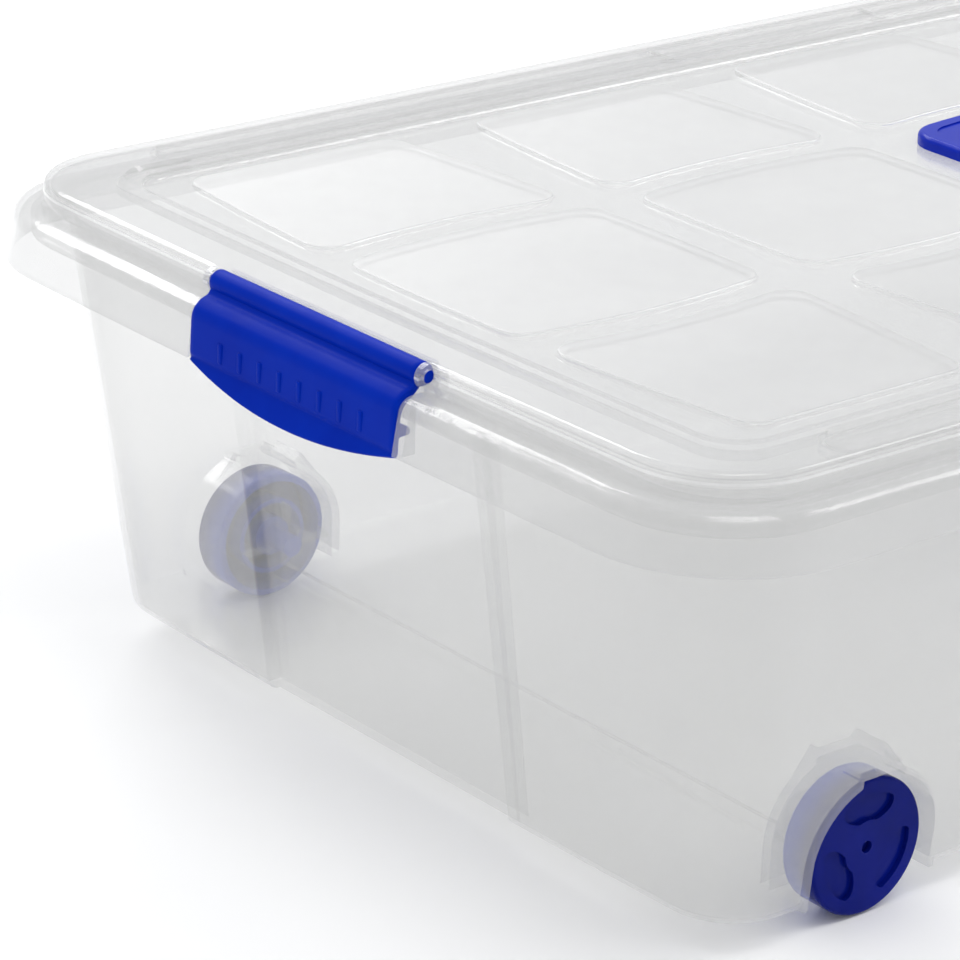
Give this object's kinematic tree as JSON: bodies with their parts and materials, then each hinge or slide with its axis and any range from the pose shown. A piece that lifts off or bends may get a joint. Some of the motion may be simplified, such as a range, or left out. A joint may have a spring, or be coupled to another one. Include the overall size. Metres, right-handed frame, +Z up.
{
  "type": "under bed storage box",
  "caption": "Low clear plastic storage box on small wheels, with a lift-off panelled lid and a hinged blue clip at each short end.",
  "frame": {"origin": "middle of the bounding box at floor level, where the wheels touch the floor", "axes": "+X along the length, from the front clip to the rear clip; +Y across the width; +Z up"},
  "size_m": [0.7336, 0.395, 0.1718],
  "materials": {
    "clear_tub": "frosted translucent polypropylene, semi-gloss",
    "clear_lid": "frosted translucent polypropylene, semi-gloss",
    "blue_plastic": "royal blue, satin gloss",
    "navy_plastic": "dark blue, gloss"
  },
  "bodies": {
    "box": {"tub": "clear_tub"},
    "lid": {"lid": "clear_lid", "lid_plate": "blue_plastic"},
    "clip_front": {"clip_front": "blue_plastic"},
    "clip_rear": {"clip_rear": "blue_plastic"},
    "wheel_front_left": {"wheel_front_left": "navy_plastic"},
    "wheel_front_right": {"wheel_front_right": "navy_plastic"},
    "wheel_rear_left": {"wheel_rear_left": "navy_plastic"},
    "wheel_rear_right": {"wheel_rear_right": "navy_plastic"}
  },
  "joints": [
    {"name": "lid_lift", "type": "slide", "parent": "box", "child": "lid", "axis": [0, 0, 1], "range_m": [0, 0.12]},
    {"name": "clip_front_hinge", "type": "hinge", "parent": "lid", "child": "clip_front", "pos_m": [-0.3515, 0, 0.1676], "axis": [0, 1, 0], "range_deg": [0, 105]},
    {"name": "clip_rear_hinge", "type": "hinge", "parent": "lid", "child": "clip_rear", "pos_m": [0.3515, 0, 0.1676], "axis": [0, -1, 0], "range_deg": [0, 105]},
    {"name": "wheel_front_left_spin", "type": "hinge", "parent": "box", "child": "wheel_front_left", "pos_m": [-0.257, 0.1565, 0.0235], "axis": [0, 1, 0], "continuous": true},
    {"name": "wheel_front_right_spin", "type": "hinge", "parent": "box", "child": "wheel_front_right", "pos_m": [-0.257, -0.1565, 0.0235], "axis": [0, 1, 0], "continuous": true},
    {"name": "wheel_rear_left_spin", "type": "hinge", "parent": "box", "child": "wheel_rear_left", "pos_m": [0.257, 0.1565, 0.0235], "axis": [0, 1, 0], "continuous": true},
    {"name": "wheel_rear_right_spin", "type": "hinge", "parent": "box", "child": "wheel_rear_right", "pos_m": [0.257, -0.1565, 0.0235], "axis": [0, 1, 0], "continuous": true}
  ]
}
